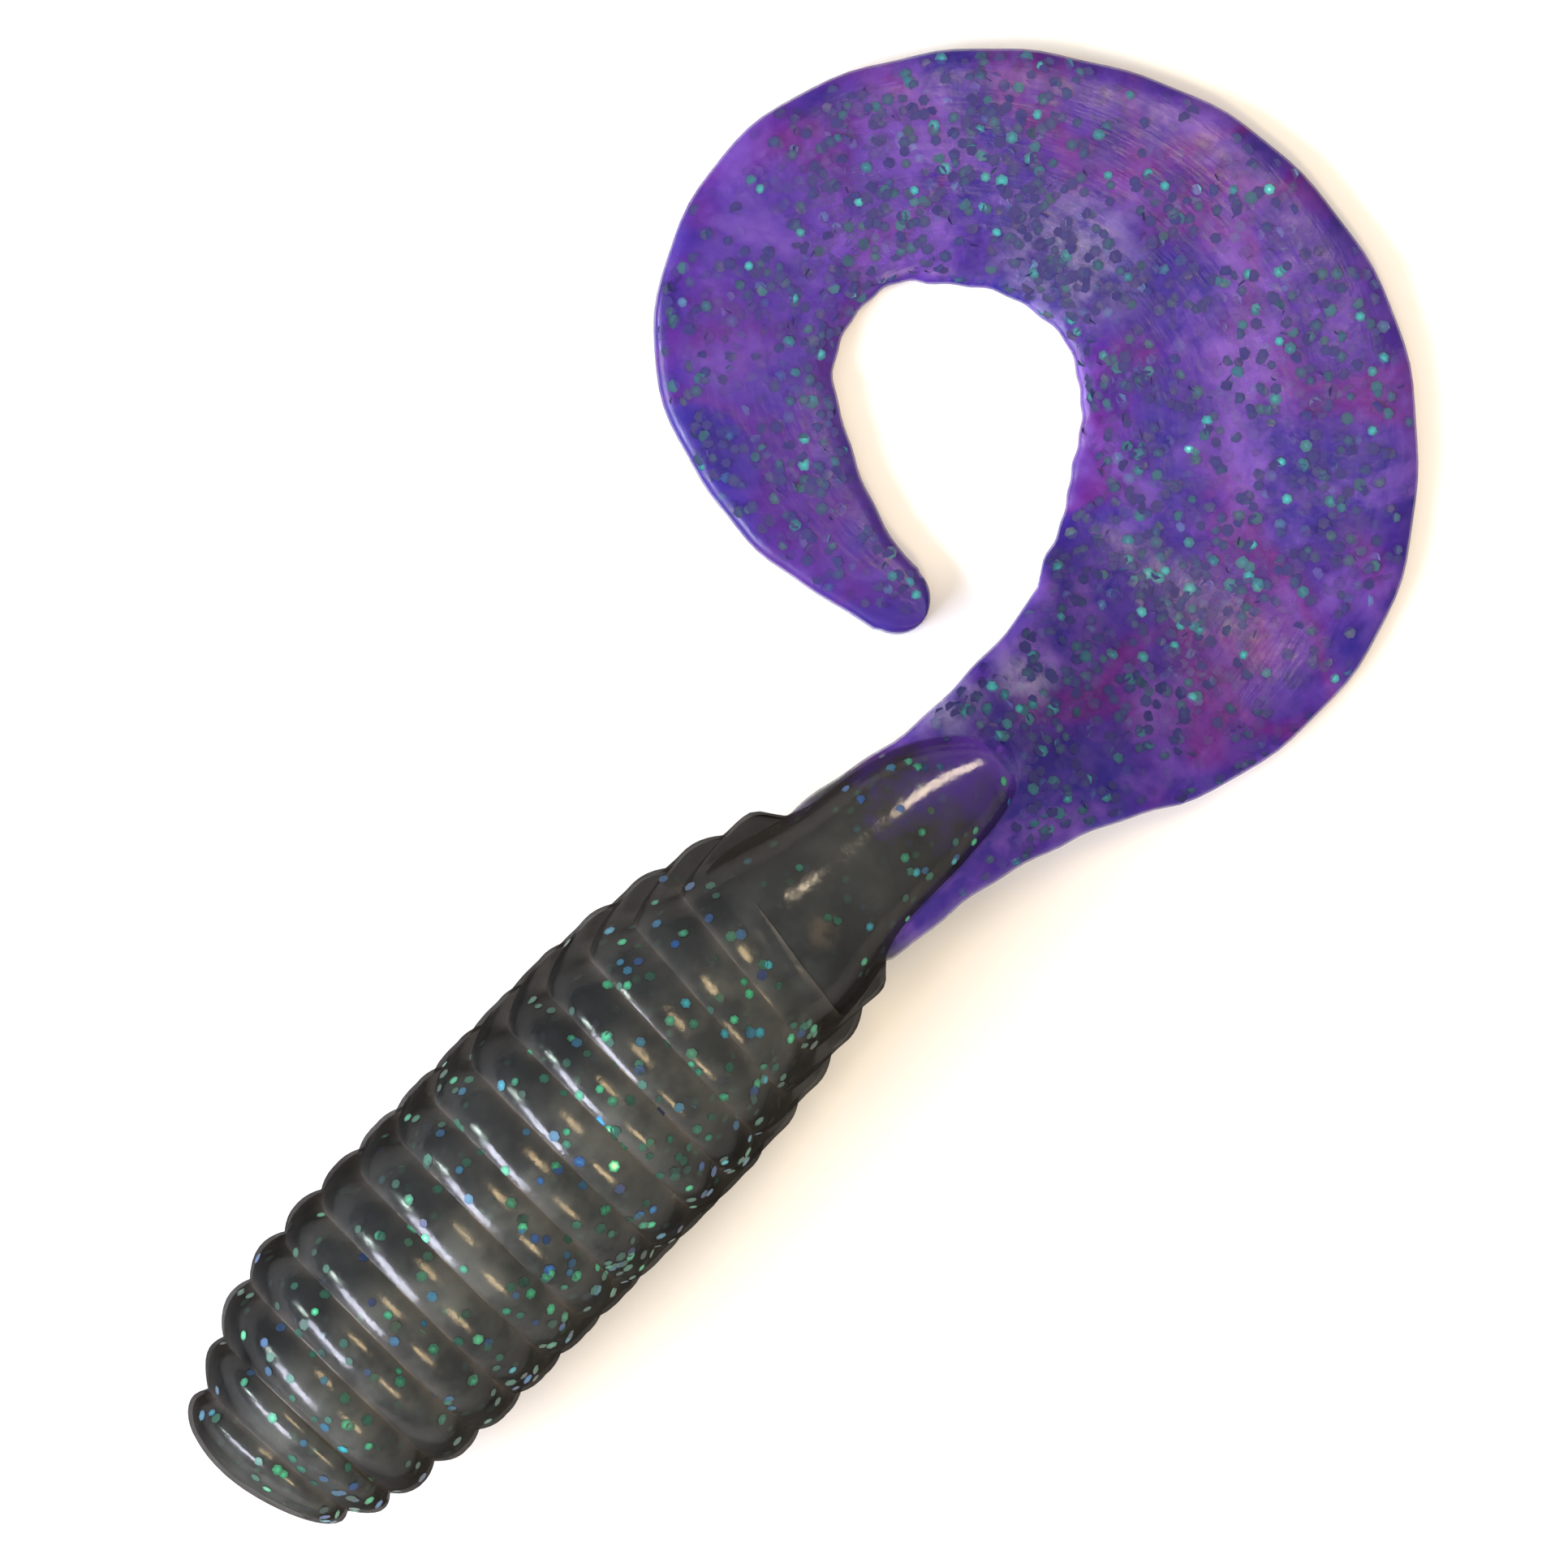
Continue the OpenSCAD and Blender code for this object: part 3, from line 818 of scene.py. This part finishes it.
def tail_loft(name, edge_inset, thin, material):
    """The blade's spans: the first bends with the body's last joint."""
    places = blade_places()
    joints = ["stock_lift"] + TAIL_JOINTS
    grid = blade_grid(edge_inset, thin)
    flow = np.zeros(grid.shape)
    for i, q in enumerate(places):
        px, py, heading = tail_at(q)
        h = math.radians(heading)
        flow[i, :, 0] = q
        flow[i, :, 1] = (grid[i, :, 1] - py) * math.cos(h) - (grid[i, :, 0] - px) * math.sin(h)
    return loft_spans(name, grid, lambda i, at: tail_span(places[i] + 0.01), joints, material,
                      close_end=True, flow=flow)


body_skin = loft_spans("smoke_skin", body_grid(0.0, RIB_DEPTH), body_span_of, BODY_JOINTS,
                       SMOKE_SKIN, tints=groove_shares())
loft_spans("smoke_core", body_grid(RIM, RIB_DEPTH * 0.8), body_span_of, BODY_JOINTS,
           SMOKE_CORE, tints=groove_shares())
peg_skin = loft_spans("peg_skin", peg_grid(0.0), last_span_of, BODY_JOINTS, PEG_SKIN)
peg_core = loft_spans("peg_core", peg_grid(PEG_RIM), last_span_of, BODY_JOINTS, PEG_CORE)
tail_skin = tail_loft("violet_skin", 0.0, 1.0, VIOLET_SKIN)
tail_loft("violet_core", BLADE_RIM, CORE_THIN, VIOLET_CORE)

for span, node in enumerate(["body_front", "body_fore", "body_mid", "body_rear"]):
    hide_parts(node)
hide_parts("tail_peg")
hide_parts("tail_root")
for span in range(1, 7):
    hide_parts(f"blade_{span}")
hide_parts("blade_tip")

# ---- Glitter -----------------------------------------------------------------------------

FLAKE_EDGE_SHADE = 0.55       # painted shade: a flake's edge is darker than its middle, like its shadow in the plastic
WIDEST_HALF = 6.9       # half the blade's width at its widest: narrower places get fewer flakes


class Glitter:
    """Collects hexagonal flakes by colour and span, then makes one mesh of each lot."""

    def __init__(self):
        self.lots = {}

    def add(self, colour, group, place, normal, size, tint):
        """A flake at a place, facing along normal, turned at random."""
        n = np.array(normal, float)
        n = n / np.linalg.norm(n)
        turn = dice.uniform(0, math.pi / 3)
        other = np.array([1.0, 0, 0]) if abs(n[0]) < 0.9 else np.array([0, 1.0, 0])
        a = np.cross(n, other)
        a = a / np.linalg.norm(a)
        b = np.cross(n, a)
        lot = self.lots.setdefault((colour, group), ([], [], []))
        first = len(lot[0])
        lot[0].append(np.array(place))
        lot[2].append(tint)
        for k in range(6):
            angle = turn + math.pi / 3 * k
            lot[0].append(np.array(place) + size / 2 * (a * math.cos(angle) + b * math.sin(angle)))
            # Painted shade: the flake's rim gets a darker tint than its middle.
            lot[2].append(tint * FLAKE_EDGE_SHADE)
            lot[1].append((first, first + 1 + k, first + 1 + (k + 1) % 6))

    def make(self):
        for (colour, group), (points, faces, tints) in sorted(self.lots.items()):
            name, joint = group
            piece = add_mesh(f"{colour}s_{name}", np.array(points), faces, FILMS[colour],
                             None, tints)
            bend_over(piece, joint)


glitter = Glitter()


def tilted(normal, most):
    """The normal, turned by a random tilt."""
    n = np.array(normal, float)
    return n + np.array([dice.gauss(0, most), dice.gauss(0, most), dice.gauss(0, most)])


def body_colour():
    """The colour of the next flake in the body: mostly green, then teal, then blue."""
    roll = dice.random()
    if roll < 0.70:
        return "green_flake"
    if roll < 0.89:
        return "teal_flake"
    return "blue_flake"


BODY_FLAKES = 1650
PEG_FLAKES = 230
TAIL_FLAKES = 5000
TAIL_CLUSTERS = 90
TAIL_LOOSE = 0.4        # share of the tail's flakes that lie outside the clusters
BODY_FLAKE_SIZES = (0.32, 0.50)
PEG_FLAKE_SIZES = (0.30, 0.46)
TAIL_FLAKE_SIZES = (0.38, 0.56)
GLINT_SIZE = 0.5
GLINT_TINT = 1.2
PROUD = 0.012
GLINTS = 0.02           # share of the surface flakes painted as glints, as if they caught a light full on
EDGE_CLEAR = 0.24       # sine of the angle from the body's sides that stays clear of flakes
EDGE_KEEP = 0.3         # no flake's middle comes closer than this to the blade's edge


def body_normal(u, angle):
    """The way the ribbed surface faces, from its slopes along and round the body."""
    def at(along, round_by):
        return np.array(body_point(u + along, angle + round_by, 0, RIB_DEPTH))

    n = np.cross(at(0.05, 0) - at(-0.05, 0), at(0, 0.02) - at(0, -0.02))
    return n / np.linalg.norm(n)


def flake_depth(surface_share, least, most):
    """Just proud of the surface, which is below zero, or somewhere under it."""
    return -PROUD if dice.random() < surface_share else dice.uniform(least, most)


def scatter_body():
    made = 0
    while made < BODY_FLAKES:
        u = dice.uniform(0.8, BODY_LEN - 0.6)
        angle = dice.uniform(0, 2 * math.pi)
        if abs(math.sin(angle)) < EDGE_CLEAR:
            continue
        lower = 0.5 - 0.5 * math.cos(angle)
        density = 0.2 + 0.8 * lower * (0.35 + 0.65 * clamp01(u / 20)) + 0.2 * bump(u, 0.8, 2.5)
        if dice.random() > density:
            continue
        made += 1
        depth = flake_depth(0.45, 0.04, RIM - 0.03)
        at = body_point(u, angle, depth, RIB_DEPTH)
        normal = tilted(body_normal(u, angle), 0.04 if depth < 0 else 0.12)
        span = body_span(at[0])
        # Each flake's random tint paints how brightly it glints.
        size, tint = dice.uniform(*BODY_FLAKE_SIZES), dice.betavariate(1.5, 2.4)
        # Painted glints: a few surface flakes get a set size and the brightest tint.
        if dice.random() < GLINTS and depth < 0:
            size, tint = GLINT_SIZE, GLINT_TINT
        glitter.add(body_colour(), (f"body_{span + 1}", BODY_JOINTS[span]), at, normal, size, tint)


def scatter_peg():
    for _ in range(PEG_FLAKES):
        x = 31.5 + (PEG_TO - 31.8) * dice.random() ** 0.8
        angle = dice.uniform(0, 2 * math.pi)
        depth = flake_depth(0.4, 0.05, PEG_RIM - 0.04)
        radius = max(0.1, peg_r(x) - depth)
        fall = (peg_r(x) - peg_r(min(PEG_TO, x + 0.1))) / 0.1
        at = [x, peg_y(x) + radius * math.cos(angle), peg_z(x) + radius * math.sin(angle)]
        # Each flake's random tint paints how brightly it glints.
        glitter.add(body_colour(), ("peg", "stock_lift"), at,
                    tilted([fall, math.cos(angle), math.sin(angle)], 0.05),
                    dice.uniform(*PEG_FLAKE_SIZES), dice.betavariate(1.8, 2.4))


def tail_flake_place(clusters):
    """Distance along the tail and place across it, from -1 to 1. Most are in clusters."""
    if dice.random() < TAIL_LOOSE:
        return dice.uniform(0.5, TAIL_LEN + 0.9), dice.uniform(-1, 1)
    q, v = clusters[dice.randrange(len(clusters))]
    return dice.gauss(q, 1.0), dice.gauss(v, 0.17)


def scatter_tail():
    joints = ["stock_lift"] + TAIL_JOINTS
    clusters = [(dice.uniform(3, TAIL_LEN), dice.uniform(-1, 1)) for _ in range(TAIL_CLUSTERS)]
    made = 0
    while made < TAIL_FLAKES:
        q, v = tail_flake_place(clusters)
        if not 0.5 < q < TAIL_LEN + 0.9 or dice.random() * WIDEST_HALF > half_width(q):
            continue
        inner, outer = blade_edges(q)
        reach = inner if v > 0 else outer
        if abs(v) * reach > reach - EDGE_KEEP:
            continue
        px, py, heading = tail_at(q)
        h = math.radians(heading)
        x = px - math.sin(h) * v * reach
        y = py + math.cos(h) * v * reach
        by_peg = q < FAIRING_TO and x < PEG_TO + 0.3
        if by_peg and abs(y - peg_y(x)) < peg_r(min(x, PEG_TO)) + 0.4:
            continue
        made += 1
        top = dice.random() < 0.72
        depth = flake_depth(0.3, 0.06, 0.17)
        z = middle_z(q) + (blade_rise(q, v) - depth) * (1 if top else -1)
        slope = (middle_z(q + 0.1) - middle_z(q - 0.1)) / 0.2
        normal = tilted([-slope * math.cos(h), -slope * math.sin(h), 1], 0.06 if depth < 0 else 0.25)
        # Painted shade and glint: most tail flakes get the dark film, as if turned away from the
        # light, and a random tint.
        colour = "dark_flake" if dice.random() < 0.80 else "teal_flake"
        span = tail_span(q)
        glitter.add(colour, (f"tail_{span + 1}", joints[span]), [x, y, max(z, 0.02)], normal,
                    dice.uniform(*TAIL_FLAKE_SIZES), dice.betavariate(1.8, 2.2))


scatter_body()
scatter_peg()
scatter_tail()
glitter.make()

for name, node in frame["nodes"].items():
    if "flakes" in name:
        film = FILMS[name.split("_")[0] + "_flake"]
        for place in range(len(node.data.materials)):
            node.data.materials[place] = film

# ---- Floor, lights and camera ------------------------------------------------------------


def make_floor():
    m = Nodes("floor_paper")
    coord = m.tree.nodes.new("ShaderNodeTexCoord")
    grain = m.noise(coord.outputs["Object"], 300.0, 3.0)
    m.drive("Base Color", m.ramp(grain, [(0.3, (0.86, 0.86, 0.86)), (0.7, (0.88, 0.88, 0.88))]))
    m.set(Roughness=0.9)
    mesh = bpy.data.meshes.new("floor")
    reach = 3.0
    corners = [(-reach, -reach, 0), (reach, -reach, 0), (reach, reach, 0), (-reach, reach, 0)]
    mesh.from_pydata(corners, [], [(0, 1, 2, 3)])
    mesh.materials.append(m.material)
    floor = bpy.data.objects.new("floor", mesh)
    bpy.context.scene.collection.objects.link(floor)


def area_light(name, direction, size, radiance, colour, turn=0.0):
    """A soft box that faces the object. Unturned, its own Y is nearest to the row's Y."""
    data = bpy.data.lights.new(name, "AREA")
    data.shape = "RECTANGLE"
    data.size = size[0]
    data.size_y = size[1]
    data.color = colour
    data.energy = radiance * math.pi * size[0] * size[1]
    lamp = bpy.data.objects.new(name, data)
    d = np.array(direction, float)
    d = d / np.linalg.norm(d)
    lamp.location = tuple(d * LAMP_DISTANCE)
    z = d
    x = np.cross([0, 1.0, 0], z)
    x = x / np.linalg.norm(x)
    y = np.cross(z, x)
    x, y = x * math.cos(turn) + y * math.sin(turn), y * math.cos(turn) - x * math.sin(turn)
    lamp.rotation_euler = Matrix((x, y, z)).transposed().to_euler()
    bpy.context.scene.collection.objects.link(lamp)
    return lamp


LAMP_DISTANCE = 0.45
LAVENDER = (0.82, 0.83, 1.0)
GREENISH = (0.85, 1.0, 0.92)
AMBER = (1.0, 0.74, 0.40)
CREAM = (1.0, 0.82, 0.58)
SKY_LIGHT = 0.7

make_floor()
area_light("key_box", (-0.80, 0.28, 0.50), (0.12, 0.31), 29, LAVENDER)
area_light("window", (-0.565, 0.73, 0.378), (0.06, 0.06), 40, GREENISH)
warm_left = area_light("warm_left", (0.29, 0.10, 0.95), (0.08, 0.13), 21, AMBER)
warm_right = area_light("warm_right", (-0.30, -0.60, 0.78), (0.08, 0.15), 21, AMBER)
strip = area_light("peg_strip", (0.83, 0.22, 0.50), (0.40, 0.09), 30, CREAM, math.radians(-20))

# The strip lights only the peg, and the two warm boxes all but the peg
peg_only = bpy.data.collections.new("peg_only")
all_but_peg = bpy.data.collections.new("all_but_peg")
for piece in list(bpy.context.scene.objects):
    if piece.type == "MESH":
        (peg_only if piece in peg_skin + peg_core else all_but_peg).objects.link(piece)
strip.light_linking.receiver_collection = peg_only
warm_left.light_linking.receiver_collection = all_but_peg
warm_right.light_linking.receiver_collection = all_but_peg

world = bpy.data.worlds.new("studio")
world.use_nodes = True
sky = world.node_tree.nodes["Background"]
sky.inputs["Color"].default_value = (1, 1, 1, 1)
sky.inputs["Strength"].default_value = SKY_LIGHT
bpy.context.scene.world = world
bpy.context.scene.view_settings.view_transform = "Standard"

VIEW_WIDTH = 61.8 * MM
VIEW_MIDDLE = (1.65 * MM, -3.15 * MM)
LENS = 450.0
SENSOR = 36.0
FOCUS_Z = 3.0 * MM      # the view is this wide at this height
VIEW_TURN = math.radians(-45.24)
camera_data = bpy.data.cameras.new("camera")
camera_data.lens = LENS
camera_data.sensor_width = SENSOR
camera = bpy.data.objects.new("camera", camera_data)
camera.location = (*VIEW_MIDDLE, FOCUS_Z + VIEW_WIDTH * LENS / SENSOR)
camera.rotation_euler = (0, 0, VIEW_TURN)
bpy.context.scene.collection.objects.link(camera)
bpy.context.scene.camera = camera
